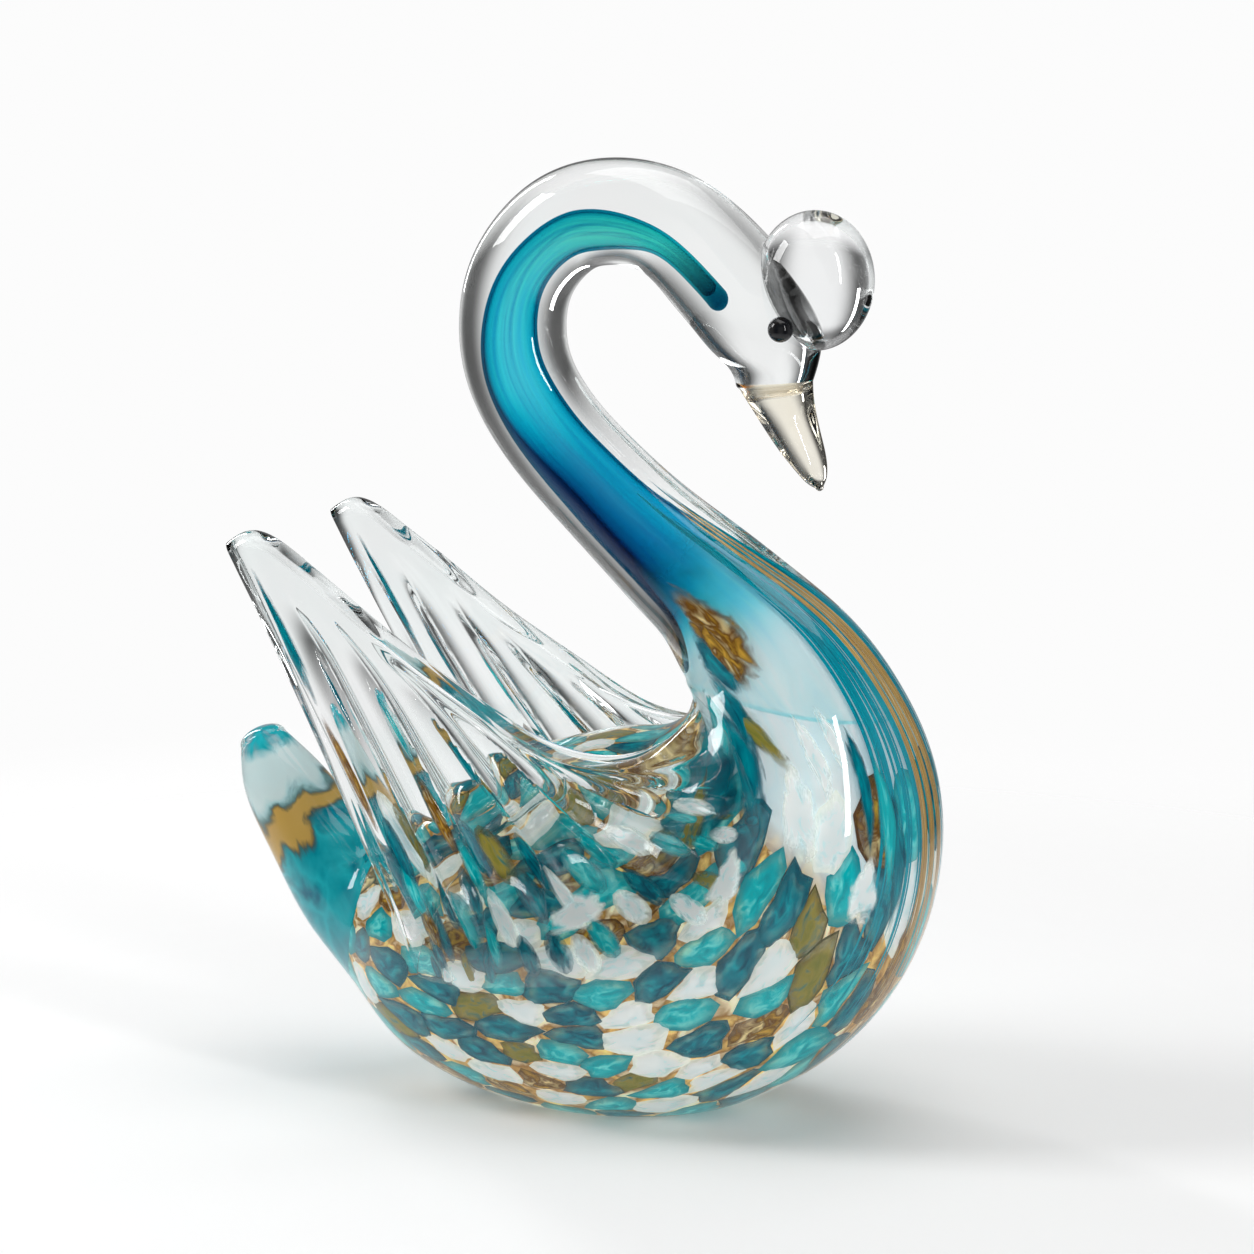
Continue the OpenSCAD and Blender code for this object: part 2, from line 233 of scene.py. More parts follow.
def add(tree, kind, inputs=(), **settings):
    """A node with its settings, and its inputs set to values or linked to sockets."""
    n = tree.nodes.new("ShaderNode" + kind)
    for key, value in settings.items():
        setattr(n, key, value)
    for key, value in dict(inputs).items():
        if isinstance(value, bpy.types.NodeSocket):
            tree.links.new(value, n.inputs[key])
        else:
            n.inputs[key].default_value = value
    return n


def blend(tree, factor, a, b):
    """A colour between a and b."""
    return add(tree, "Mix", {0: factor, 6: a, 7: b}, data_type="RGBA").outputs[2]


def calc(tree, operation, *values):
    """The result of a Math node."""
    return add(tree, "Math", dict(enumerate(values)), operation=operation).outputs[0]


def ramp(tree, value, low, high, to=(0.0, 1.0), smooth=False):
    """A value carried from low..high to another range, and held at both ends of it."""
    n = add(tree, "MapRange", {"Value": value, "From Min": low, "From Max": high,
                               "To Min": to[0], "To Max": to[1]})
    n.interpolation_type = "SMOOTHSTEP" if smooth else "LINEAR"
    return n.outputs[0]


COLOR, FLOAT, VECTOR = "NodeSocketColor", "NodeSocketFloat", "NodeSocketVector"
streaks, s_in, s_out = group(
    "streaked tint",
    [(VECTOR, "Vector", None), (COLOR, "First", (1, 1, 1, 1)), (COLOR, "Second", (.5, .5, .5, 1)),
     (COLOR, "Third", (0, 0, 0, 1)), (FLOAT, "Scale", 5.0), (FLOAT, "Warp", 0.5)],
    [(COLOR, "Colour"), (FLOAT, "Mask")])
s_noise = add(streaks, "TexNoise", {"Vector": s_in.outputs["Vector"], "Scale": s_in.outputs["Scale"],
                                    "Detail": 4.0, "Distortion": s_in.outputs["Warp"]})
s_low = ramp(streaks, s_noise.outputs[0], .32, .5)
s_high = ramp(streaks, s_noise.outputs[0], .5, .68)
s_mix = blend(streaks, s_low, s_in.outputs["First"], s_in.outputs["Second"])
s_mix = blend(streaks, s_high, s_mix, s_in.outputs["Third"])
streaks.links.new(s_mix, s_out.inputs["Colour"])
streaks.links.new(s_noise.outputs[0], s_out.inputs["Mask"])

polish, p_in, p_out = group("fire polish", [(VECTOR, "Vector", None), (FLOAT, "Scale", 60.0)],
                            [(FLOAT, "Height")])
p_slow = add(polish, "TexNoise", {"Vector": p_in.outputs["Vector"], "Scale": p_in.outputs["Scale"],
                                  "Detail": 1.0})
polish.links.new(p_slow.outputs[0], p_out.inputs["Height"])


def place(tree, group_tree, inputs):
    """One use of a node group in a material, with its own values."""
    return add(tree, "Group", inputs, node_tree=group_tree)


def start_material(name, **plain):
    """A material with a Principled shader whose plain values are set on its own sockets."""
    mat = bpy.data.materials.new(name)
    mat.use_nodes = True
    shader = mat.node_tree.nodes["Principled BSDF"]
    for key, value in plain.items():
        shader.inputs[key.replace("_", " ")].default_value = value
    return mat, mat.node_tree, shader


def rgb(*c):
    return (*c, 1.0)


print("groups:", [g.name for g in bpy.data.node_groups])

# %% [markdown]
# ## Clear glass
# The casing, the wings and the knob are colourless. The Principled shader does this with full
# transmission and an index of refraction of 1.5. Faint waves and a breath of aqua
# in the colour keep it from looking like a perfect lens. The turquoise glass of the neck
# takes its colour from absorption in its volume, with streaks and a tint over that.

# %% Clear and tinted glasses
def clear_glass(name, first, second, wave=0.00012, scale=45.0, ior=1.5, density=0.0, absorb=None,
                edge=None):
    mat, tree, shader = start_material(name, Transmission_Weight=1.0, Roughness=0.0, IOR=ior)
    coords = add(tree, "TexCoord").outputs["Object"]
    tint = place(tree, streaks, {"Vector": coords, "First": first, "Second": second,
                                 "Third": first, "Scale": 30.0})
    colour = tint.outputs["Colour"]
    if edge:
        facing = add(tree, "LayerWeight", {"Blend": .4}).outputs["Facing"]
        facing = ramp(tree, facing, .35, .9)
        colour = blend(tree, facing, colour, edge)
    tree.links.new(colour, shader.inputs["Base Color"])
    if wave:
        height = place(tree, polish, {"Vector": coords, "Scale": scale})
        bump = add(tree, "Bump", {"Height": height.outputs["Height"], "Strength": 1.0,
                                  "Distance": wave})
        tree.links.new(bump.outputs["Normal"], shader.inputs["Normal"])
    if density:
        volume = add(tree, "VolumeAbsorption", {"Color": absorb, "Density": density})
        tree.links.new(volume.outputs["Volume"], tree.nodes["Material Output"].inputs["Volume"])
    return mat


casing_glass = clear_glass("clear_casing_glass", rgb(1, 1, 1), rgb(.975, .995, .99))
wing_glass = clear_glass("clear_wing_glass", rgb(.99, 1, 1), rgb(.93, .975, .97), 0.00003, 60.0)
knob_glass = clear_glass("clear_knob_glass", rgb(1, 1, 1), rgb(.98, .995, 1), 0.00005, 60.0)
beak_glass = clear_glass("amber_beak_glass", rgb(1, 1, .98), rgb(1, .96, .86), 0.00005, 120.0,
                         1.5, 8.0, rgb(.97, .85, .45), rgb(.72, .40, .08))


def drawn_glass(name, density, absorb):
    """Coloured glass drawn up the neck: fine streaks along the flow, dark flanks, a green arch."""
    mat, tree, shader = start_material(name, Transmission_Weight=1.0, Roughness=0.0, IOR=1.0)
    uv = add(tree, "UVMap", uv_map="UVMap").outputs[0]
    drawn = add(tree, "Mapping", {"Vector": uv, "Scale": (9, 1.1, 1)}).outputs[0]
    tint = place(tree, streaks, {"Vector": drawn, "First": rgb(.62, .88, 1), "Second": rgb(1, 1, 1),
                                 "Third": rgb(.40, .66, .86), "Scale": 2.0, "Warp": .4})
    up = add(tree, "SeparateXYZ", {0: uv}).outputs["Y"]
    arch = ramp(tree, up, .5, .78, smooth=True)
    low = ramp(tree, up, .30, .52, smooth=True)
    chest = ramp(tree, up, .06, .28, smooth=True)
    height = blend(tree, low, rgb(.74, .92, 1), rgb(1, 1, 1))
    height = blend(tree, arch, height, rgb(1, .98, .83))
    tip = ramp(tree, up, .87, .98)
    height = blend(tree, tip, height, rgb(.06, .16, .22))
    both = add(tree, "Mix", {0: 1.0, 6: tint.outputs["Colour"], 7: height}, data_type="RGBA",
               blend_type="MULTIPLY").outputs[2]
    both = blend(tree, chest, rgb(1, 1, 1), both)
    flank = add(tree, "LayerWeight", {"Blend": .5}).outputs["Facing"]
    flank = ramp(tree, flank, .45, .95)
    flank = calc(tree, "MULTIPLY", flank, chest)
    tree.links.new(blend(tree, flank, both, rgb(.10, .22, .36)), shader.inputs["Base Color"])
    volume = add(tree, "VolumeAbsorption", {"Color": absorb, "Density": density})
    tree.links.new(volume.outputs["Volume"], tree.nodes["Material Output"].inputs["Volume"])
    return mat


turquoise_glass = drawn_glass("turquoise_core_glass", 4000.0, rgb(.04, .862, .91))
rod_glass = clear_glass("rod_glass", rgb(1, 1, 1), rgb(.96, 1, 1), 0, 1, 1.0)
print("materials:", [m.name for m in bpy.data.materials])

# %% [markdown]
# ## Coloured glasses
# Chips of enamel and transparent colour lie under the clear glass. Each chip keeps its own
# random tone in an attribute, and its UV map is centred on the chip, so that a pattern can
# differ from chip to chip and darken towards a chip's edge. Inside clear glass a chip
# throws no highlight of its own, so its index of refraction is 1.
# Each chip also emits a little light of its own colour: a painted glow that keeps it bright under the
# clear glass.

# %% Chip and layer materials
def chip_glass(name, first, second, third, edge, painted_glow=0.06):
    """Marbled colour inside one chip, darker at its edge; a soft patch also thins out there. Its emission
    in its own colour is a painted glow.
    """
    mat, tree, shader = start_material(name, Roughness=0.35, IOR=1.0, Emission_Strength=painted_glow)
    uv = add(tree, "UVMap", uv_map="UVMap").outputs[0]
    tone = add(tree, "Attribute", attribute_name="tone").outputs["Fac"]
    shifted = add(tree, "CombineXYZ", {"X": tone, "Y": tone, "Z": tone}).outputs[0]
    where = add(tree, "VectorMath", {0: shifted, "Scale": 40.0}, operation="SCALE").outputs[0]
    spot = add(tree, "VectorMath", {0: uv, 1: where}, operation="ADD").outputs[0]
    tint = place(tree, streaks, {"Vector": spot, "First": first, "Second": second, "Third": third,
                                 "Scale": 1.7, "Warp": 1.0})
    out = add(tree, "VectorMath", {0: uv}, operation="LENGTH").outputs["Value"]
    rim = ramp(tree, out, .62, 1.02)
    colour = blend(tree, rim, tint.outputs["Colour"], edge)
    soft = add(tree, "Attribute", attribute_name="soft").outputs["Fac"]
    ragged = calc(tree, "MULTIPLY", tint.outputs["Mask"], 1.2)
    ragged = calc(tree, "ADD", ragged, out)
    worn = ramp(tree, ragged, 1.0, 1.55, smooth=True)
    gone = calc(tree, "MULTIPLY", soft, worn)
    tree.links.new(calc(tree, "SUBTRACT", 1.0, gone),
                   shader.inputs["Alpha"])
    tree.links.new(colour, shader.inputs["Base Color"])
    tree.links.new(colour, shader.inputs["Emission Color"])
    return mat


# The last number of each chip glass is its painted glow: light emitted in the chip's colour, so that chips
# dimly lit through the clear glass look bright.
chip_mats = {
    "white": chip_glass("white_enamel", rgb(.97, .97, .95), rgb(.88, .93, .93), rgb(.60, .80, .82),
                        rgb(.86, .88, .80), .30),
    "aqua": chip_glass("aqua_frit", rgb(.0, .30, .35), rgb(.0, .46, .49), rgb(.16, .72, .70),
                       rgb(.0, .24, .28), .32),
    "teal": chip_glass("teal_frit", rgb(.0, .08, .13), rgb(.0, .19, .25), rgb(.0, .34, .40),
                       rgb(.0, .10, .14), .28),
    "amber": chip_glass("amber_frit", rgb(.66, .38, .05), rgb(.15, .055, .008), rgb(.92, .72, .34),
                        rgb(.08, .03, .01), .25),
    "olive": chip_glass("olive_frit", rgb(.22, .22, .04), rgb(.34, .27, .05), rgb(.05, .20, .17),
                        rgb(.06, .06, .02), .2),
}


def layer_glass(name, first, second, third, scale=(6, 1.2), size=4.0, alpha=None, painted_glow=0.22,
                bands=()):
    """Colour drawn out along the flow: noise on the UV map, stretched along v, and wavy bands. The colour
    is also emitted as a painted glow.
    """
    mat, tree, shader = start_material(name, Roughness=0.4, IOR=1.0, Emission_Strength=painted_glow)
    uv = add(tree, "UVMap", uv_map="UVMap").outputs[0]
    drawn = add(tree, "Mapping", {"Vector": uv, "Scale": (scale[0], scale[1], 1.0)}).outputs[0]
    tint = place(tree, streaks, {"Vector": drawn, "First": first, "Second": second,
                                 "Third": third, "Scale": size, "Warp": .6})
    colour = tint.outputs["Colour"]
    up = add(tree, "SeparateXYZ", {0: uv}).outputs["Y"]
    wavy = calc(tree, "MULTIPLY_ADD", tint.outputs["Mask"], .35, up)
    for middle, half, shade in bands:
        away = calc(tree, "SUBTRACT", wavy, middle)
        away = calc(tree, "ABSOLUTE", away)
        inside = ramp(tree, away, half, .4 * half, (0.0, .9), smooth=True)
        colour = blend(tree, inside, colour, shade)
    tree.links.new(colour, shader.inputs["Base Color"])
    tree.links.new(colour, shader.inputs["Emission Color"])
    if alpha:
        cover = add(tree, "Attribute", attribute_name="cover").outputs["Fac"]
        wisps = calc(tree, "MULTIPLY", tint.outputs["Mask"], alpha)
        edge = calc(tree, "SUBTRACT", cover, wisps)
        veil = ramp(tree, edge, -.1, .6)
        tree.links.new(veil, shader.inputs["Alpha"])
    return mat


# The amber ground has the strongest painted glow, which lifts it out of the shade between the chips.
ground_mat = layer_glass("amber_ground", rgb(.95, .66, .22), rgb(.28, .13, .03), rgb(1, .90, .62),
                         (16, 9), 3.0, None, .5)
gold_mat = layer_glass("gold_streaks", rgb(.88, .58, .18), rgb(.34, .17, .03), rgb(1, .86, .55),
                       (3, .6), 4.0)
teal_mat = layer_glass("teal_streaks", rgb(.0, .18, .28), rgb(.0, .40, .50), rgb(.0, .04, .11),
                       (3, .6), 4.0)
veil_mat = layer_glass("white_veil", rgb(.86, .91, .92), rgb(.70, .84, .88), rgb(.93, .95, .95),
                       (4, .8), 3.0, .5)
tail_mat = layer_glass("tail_streaks", rgb(.0, .26, .34), rgb(.02, .46, .52), rgb(.0, .16, .24),
                       (2.6, 1.8), 2.2, None, .22,
                       ((.42, .22, rgb(.74, .86, .86)), (.66, .11, rgb(.08, .05, .02)),
                        (.66, .07, rgb(.66, .40, .10))))
print(len(chip_mats), "chip materials;", len(bpy.data.materials), "materials so far")

# %% [markdown]
# ## The clear casing
# The outer glass of body, neck, head and tail is one gather, so it is one closed tube with no
# seam between body and tail.

# %% Casing
bm = new_mesh()
bent_grid(bm, tube(-TAIL_N, END_S, depth=0.0, dome_from=0.55, dome_to=0.35), 128, 400)
skin_tree = BVHTree.FromBMesh(bm)
finish_piece(bm, "casing", casing_glass, "clear_glass", "clear_casing", "tail")


def seat(points, sink=0.25):
    """Carries each point that lies deeper than sink below the skin to that depth under the skin."""
    for p in points:
        near, normal, _, _ = skin_tree.find_nearest(p.co)
        if (p.co - near).dot(normal) < -sink * mm:
            p.co = near - normal * sink * mm


# %% [markdown]
# ## The ground under the chips
# Between the chips shows amber and cream glass: the powder that the gather was first rolled in.
# It is one closed tube a little deeper than the chips, and it sinks away towards the neck.

# %% Ground
CASING_WALL, NECK_WALL = 4.5, 6.8
GROUND_DEPTH = CASING_WALL + .85
GROUND_END = 8.2
bm = new_mesh()
ground = tube(-0.6, GROUND_END, lambda s: GROUND_DEPTH + 5 * ease(6, GROUND_END, s), .9, .2)
bent_grid(bm, ground, 96, 120)
finish_piece(bm, "amber_ground", ground_mat, "amber_glass", "body_core")

# %% [markdown]
# ## Chips of coloured glass
# Frit chips soften and settle side by side like scales. To pack them, sites are thrown at random
# on the core, none closer than a chip to the next. The sites are kept more often where a step
# in station and angle covers more of the skin, so that the chips are spread evenly.

# %% Sites for the chips
rng = np.random.default_rng(41)
CHIP_DEPTH = CASING_WALL + 0.3
CHIP_R, STRETCH = 4.6, 1.95
TILT = 1e-3


def core_point(s, phi, depth=CHIP_DEPTH):
    return section_point(section(s), phi, depth, depth)


def local_frame(s, phi):
    """Point, flow and across vectors per station and per radian, in swan millimetres."""
    p = core_point(s, phi) / mm
    along_ = (core_point(s + TILT, phi) / mm - p) / TILT
    across = (core_point(s, phi + TILT) / mm - p) / TILT
    return p, along_, across


CAND, FIRST_S, LAST_S = 9000, -0.45, 7.9
FAR = 25
cand_s, cand_phi = rng.uniform(FIRST_S, LAST_S, CAND), rng.uniform(0, 2 * np.pi, CAND)
p, fl, ac = local_frame(cand_s, cand_phi)
area = np.linalg.norm(np.cross(fl, ac), axis=-1)
front = np.cos(cand_phi)
limit = 6.3 + 1.3 * ease(-.2, .9, front)
keep = (rng.uniform(0, 1, CAND) < area / np.quantile(area, .97)) & (cand_s < limit)
cand_s, cand_phi, p, fl, ac = (x[keep] for x in (cand_s, cand_phi, p, fl, ac))
flow_dir = fl / np.linalg.norm(fl, axis=-1)[:, None]
side_dir = ac - (ac * flow_dir).sum(-1)[:, None] * flow_dir
side_dir /= np.linalg.norm(side_dir, axis=-1)[:, None]
grow = 1 + .35 * ease(4.6, 7, cand_s)
sites = []
for i in range(len(cand_s)):
    if sites:
        d = p[sites] - p[i]
        du, dv = d @ flow_dir[i] / STRETCH / grow[i], d @ side_dir[i]
        lift = np.linalg.norm(d, axis=-1)
        if np.any((lift < FAR) & (np.hypot(du, dv) < CHIP_R * grow[i] * .95)):
            continue
    sites.append(i)
sites = np.array(sites)
print(len(sites), "chips")

# %% [markdown]
# ## The chips themselves
# A melted grain of frit is a flat pebble with a ragged outline. Here it is a `create_uvsphere`
# of few faces, because there are hundreds, pressed flat onto the core. Its outline is the cell
# that it has between its neighbours; some fall a little short of that cell and some lap over.
# A chip is less likely to take the colour of its nearest neighbours.

# %% Chips
def flake(bm, s, phi, reach, long, wide, depth, thick, tone, turn=0.0, around=12, across=4,
          soft=.25):
    """One pressed chip on the core: an outline of its own, given by reach(angle), and a dome."""
    verts = bmesh.ops.create_uvsphere(bm, u_segments=around, v_segments=across, radius=1)["verts"]
    flow, mark = bm.loops.layers.uv["UVMap"], bm.verts.layers.float["tone"]
    edge = bm.verts.layers.float["soft"]
    flat = np.array([v.co[:] for v in verts])
    angle = np.arctan2(flat[:, 1], flat[:, 0])
    out = np.hypot(flat[:, 0], flat[:, 1])
    size = out * reach(angle)
    a, b = size * np.cos(angle) * long, size * np.sin(angle) * wide
    a, b = a * math.cos(turn) - b * math.sin(turn), a * math.sin(turn) + b * math.cos(turn)
    _, along_, across_ = local_frame(np.array(s), np.array(phi))
    co = core_point(s + a / np.linalg.norm(along_), phi + b / np.linalg.norm(across_),
                    depth - flat[:, 2] * thick)
    where = {}
    for n, (v, xyz) in enumerate(zip(verts, co)):
        v.co = xyz
        v[mark], v[edge] = tone, soft
        where[v] = n
    for f in {f for v in verts for f in v.link_faces}:
        for loop in f.loops:
            n = where[loop.vert]
            loop[flow].uv = (out[n] * math.cos(angle[n]), out[n] * math.sin(angle[n]))


COLOURS = ["white", "aqua", "teal", "amber", "olive"]
SHARE = np.array([.22, .33, .28, .10, .07])
SHARPNESS = 9
chip_bm = {c: new_mesh() for c in COLOURS}
for bm in chip_bm.values():
    bm.verts.layers.float.new("tone")
    bm.verts.layers.float.new("soft")
colour_of = {}
P, F, S = p[sites], flow_dir[sites], side_dir[sites]
for k, i in enumerate(sites):
    d = P - P[k]
    du, dv = d @ F[k] / STRETCH, d @ S[k]
    near = np.where((np.linalg.norm(d, axis=-1) < 26) & (np.hypot(du, dv) > 1e-6))[0]
    weight = SHARE.copy()
    for j in near[np.argsort(np.hypot(du[near], dv[near]))[:4]]:
        if j in colour_of:
            weight[colour_of[j]] *= .25
    c = colour_of[k] = int(rng.choice(len(COLOURS), p=weight / weight.sum()))
    tone, thick, lap = rng.uniform(), rng.uniform(.6, 1.1), rng.uniform(.90, 1.2)
    lower = rng.uniform(0, .5) + .3 * (COLOURS[c] in ("amber", "olive"))

    def cell(angle):
        """How far the chip reaches before it meets its neighbours."""
        total = np.zeros(len(angle))
        for j in near:
            t = np.cos(angle) * du[j] + np.sin(angle) * dv[j]
            r = (du[j] ** 2 + dv[j] ** 2) / np.maximum(2 * t, 1e-6)
            total += np.where(t > 0, np.minimum(1 / r, 10) ** SHARPNESS, 0)
        ragged = 1 + .11 * np.sin(angle * 3 + 40 * tone) + .07 * np.sin(angle * 5 + 90 * tone)
        return np.minimum(total ** (-1 / SHARPNESS), CHIP_R * 1.1) * ragged * lap

    flake(chip_bm[COLOURS[c]], cand_s[i], cand_phi[i], cell, STRETCH, 1.0, CHIP_DEPTH + lower,
          thick, tone)
print({c: sum(v == n for v in colour_of.values()) for n, c in enumerate(COLOURS)})

# %% [markdown]
# ## Larger patches
# A few larger gathers of colour were touched on by hand: white drips that run up the chest, amber
# and teal patches at the base of the neck, and the teal and olive curl in each shoulder. They
# are the same pressed chips, larger, finer and worn thin at their edges.

# %% Patches
def lobes(phase):
    """A rounded outline with three low lobes."""
    return lambda angle: 1 + .12 * np.sin(3 * angle + phase)


def leaf(angle):
    """An outline that runs to a point at each end."""
    return (np.abs(np.cos(angle)) ** 1.35 + np.abs(np.sin(angle)) ** 1.35) ** (-1 / 1.35)


# Colour, station, angle, half length, half width, depth, turn, pointed or not
PATCHES = [("white", 6.9, 80, 9.0, 4.6, 3.4, .2, 0), ("white", 7.9, 72, 9.5, 2.6, 3.7, .3, 1),
           ("white", 6.5, 44, 7.5, 3.8, 3.6, -.1, 0), ("white", 8.3, 60, 8.0, 1.8, 3.9, .2, 1),
           ("white", 3.3, 106, 6.8, 4.4, 3.5, .4, 0), ("white", 5.4, 96, 6.0, 3.6, 3.5, .2, 0),
           ("amber", 10.6, 103, 16.0, 5.4, 5.4, .12, 1), ("teal", 9.7, 119, 10.0, 4.8, 5.3, .2, 1),
           ("amber", 10.0, 108, 12.0, 3.0, 5.2, .1, 1),
           ("olive", 7.9, 108, 11.0, 3.2, 4.7, 1.15, 1), ("teal", 8.3, 118, 10.0, 4.0, 4.6, .6, 1),
           ("teal", 5.9, 128, 16.0, 11.0, 3.5, .5, 0), ("teal", 7.0, 112, 13.0, 5.5, 3.9, .7, 1),
           ("white", 4.6, 142, 8.0, 3.0, 3.3, .4, 1), ("amber", 4.0, 158, 10.0, 2.4, 3.2, .1, 1),
           ("aqua", 7.1, 128, 13.0, 4.4, 3.6, .4, 1), ("olive", 5.3, 120, 10.0, 3.4, 3.1, .6, 1),
           ("teal", 6.9, 28, 16.0, 2.6, 3.9, .1, 1), ("aqua", 7.3, 36, 17.0, 2.4, 3.8, .1, 1),
           ("amber", 6.0, 12, 15.0, 2.2, 3.9, .0, 1), ("teal", 7.7, 48, 15.0, 2.0, 4.1, .1, 1)]
for name, s, phi, half_long, half_wide, depth, turn, pointed in PATCHES:
    for side in (1, -1):
        wobble = rng.uniform(0, 6.28)
        flake(chip_bm[name], s, side * math.radians(phi), leaf if pointed else lobes(wobble), half_long,
              half_wide, depth, .6, rng.uniform(), side * turn, 28, 8, 1.0)
SLOTS = {"white": "white_enamel_glass", "aqua": "aqua_glass", "teal": "teal_glass",
         "amber": "amber_glass", "olive": "olive_glass"}
for name, bm in chip_bm.items():
    bmesh.ops.recalc_face_normals(bm, faces=bm.faces[:])
    finish_piece(bm, name + "_chips", chip_mats[name], SLOTS[name], name + "_frit")

# %% [markdown]
# ## The white veil
# Above the shoulders the chips give way to a milky veil that was drawn out thin as the neck was
# pulled. Its cover is an attribute, full on the chest and gone in the neck.

# %% Veil
def core_depth(s):
    return CASING_WALL + (NECK_WALL - CASING_WALL) * ease(6.5, 11.5, s)


VEIL = (5.6, 13.6)
bm = new_mesh()
cover = bm.verts.layers.float.new("cover")
verts = bent_grid(bm, tube(*VEIL, lambda s: core_depth(s) + .9, .3, .3), 72, 110)
for v in verts:
    up = v.link_loops[0][bm.loops.layers.uv.active].uv[1]
    s = VEIL[0] + (VEIL[1] - VEIL[0]) * up
    v[cover] = float(ease(5.9, 7.2, s) * (1 - ease(9.6, 13.2, s)) * 1.25)
finish_piece(bm, "white_veil", veil_mat, "white_veil_glass", "white_veil")

# %% [markdown]
# ## Gold and teal ribbons
# The ribbons are canes of colour that stretched with the neck: thin, pointed at both ends, and
# lying side by side. Each strand is a bent grid with a lens-shaped section.

# %% Ribbons
def strand(bm, s_from, s_to, phi_from, phi_to, half_width, depth, thick=.35, bow=0.0):
    """One drawn cane, from one place on the core to another, pointed at its ends."""
    def surface(u, v):
        s = s_from + (s_to - s_from) * v
        q = section(s)
        d = core_depth(s) - depth
        fat = np.sin(np.pi * v) ** .7
        phi = np.radians(phi_from + (phi_to - phi_from) * v + bow * np.sin(np.pi * v))
        phi = phi + half_width * fat * np.cos(2 * np.pi * u) / (.5 * (q[..., 3] + q[..., 4]) - d)
        return section_point(q, phi, d - thick * fat * np.sin(2 * np.pi * u), d)
    return bent_grid(bm, surface, 10, 60)


bm = new_mesh()
for k in range(10):
    strand(bm, rng.uniform(4.0, 6.4), rng.uniform(10.5, 13), -14 + 3 * k + rng.uniform(-3, 3),
           -13 + 2.6 * k + rng.uniform(-3, 3), rng.uniform(.35, .9), rng.uniform(.2, .9), .25)
finish_piece(bm, "gold_ribbon", gold_mat, "gold_glass", "gold_ribbon")
bm = new_mesh()
for side in (1, -1):
    for k in range(12):
        phi = 3 + 3.4 * k
        strand(bm, rng.uniform(4.8, 6.4), rng.uniform(10.5, 13.4), side * (phi + rng.uniform(-3, 3)),
               side * (phi + rng.uniform(-3, 3)), rng.uniform(.25, .8), rng.uniform(.0, .8), .25)
finish_piece(bm, "teal_ribbons", teal_mat, "deep_teal_glass", "teal_ribbons")

# %% [markdown]
# ## The turquoise core of the neck
# The colour is a thin tube round a clear rod. Seen edge on, the eye looks through far more of it,
# so the tube's sides go navy while its middle stays bright. Most of that comes by itself when
# the tube is a real hollow body that absorbs light. Streaks along the flow and a darker tint
# on the flanks, in its material, add the rest. Its inner wall faces inwards.

# %% Neck tube and rod
NECK_FROM, CORE_END = 8.6, HEAD_S + .7


def neck_row(s, off=0.0):
    """Sections of the neck's core, off the middle towards the nape, then towards the throat."""
    q = section(s).copy()
    shift = -.8 * ease(11.5, 13.5, s) + 3.7 * ease(16, 21.5, s)
    shift = shift + off * ease(10.6, 12.2, s) * (1 - ease(13.5, 16, s))
    tilt = np.radians(q[..., 2])
    q[..., 0] += shift * np.cos(tilt)
    q[..., 1] += shift * np.sin(tilt)
    return q


def rod_row(s):
    """Sections of the clear rod, nearer the throat low in the neck, so the nape's wall is thick."""
    return neck_row(s, 1.0)


def outer_depth(s):
    """Depth of the tube's outer wall, which draws in through the arch and tapers to its end."""
    return core_depth(s) + 1.3 * ease(15, 19, s) + 2.5 * ease(19.5, CORE_END, s)


def inner_depth(s):
    """Depth of the tube's inner wall. The wall thins out to nothing towards the chest."""
    low_wall = .75 * ease(10.4, 12.4, s) * (1 - ease(13.5, 16, s))
    return outer_depth(s) + .02 + .36 * ease(9.8, 12.0, s) + low_wall


bm = new_mesh()
bent_grid(bm, tube(NECK_FROM, CORE_END, outer_depth, .4, 1.6, neck_row), 64, 200)
inner = tube(NECK_FROM + .01, CORE_END - .3, inner_depth, .4, 1.2, rod_row)
bent_grid(bm, inner, 64, 200, flip=True)
finish_piece(bm, "neck_colour", turquoise_glass, "turquoise_glass", "neck_colour")
bm = new_mesh()
rod = tube(NECK_FROM + .1, CORE_END - .35, lambda s: inner_depth(s) + .05, .4, 1.1, rod_row)
bent_grid(bm, rod, 48, 160)
finish_piece(bm, "neck_rod", rod_glass, "core_glass", "neck_core")

# %% [markdown]
# ## Knob and eyes
# The knob is a ball of glass set on the brow while both were hot. It starts as a `create_uvsphere`;
# where it would sink into the head its points are carried to just under the head's
# skin, so that the two glasses meet with no air between them. The eyes are black glass beads.

# %% Knob and eyes
KNOB_S, EYE_S, EYE_PHI = HEAD_S + 1.4, HEAD_S + 2.05, math.radians(121)
KNOB_HALF = (12.3, 11.4, 14.3)
middle = Vector(section_point(section(KNOB_S), math.pi, -2.5))
bm = new_mesh()
made = bmesh.ops.create_uvsphere(bm, u_segments=96, v_segments=64, radius=1)["verts"]
bmesh.ops.scale(bm, vec=[half * mm for half in KNOB_HALF], verts=made)
bmesh.ops.translate(bm, vec=middle, verts=made)
seat(made)
bmesh.ops.smooth_vert(bm, verts=made, factor=.4, use_axis_x=True, use_axis_y=True, use_axis_z=True)
finish_piece(bm, "forehead_knob", knob_glass, "clear_glass", "forehead_knob")

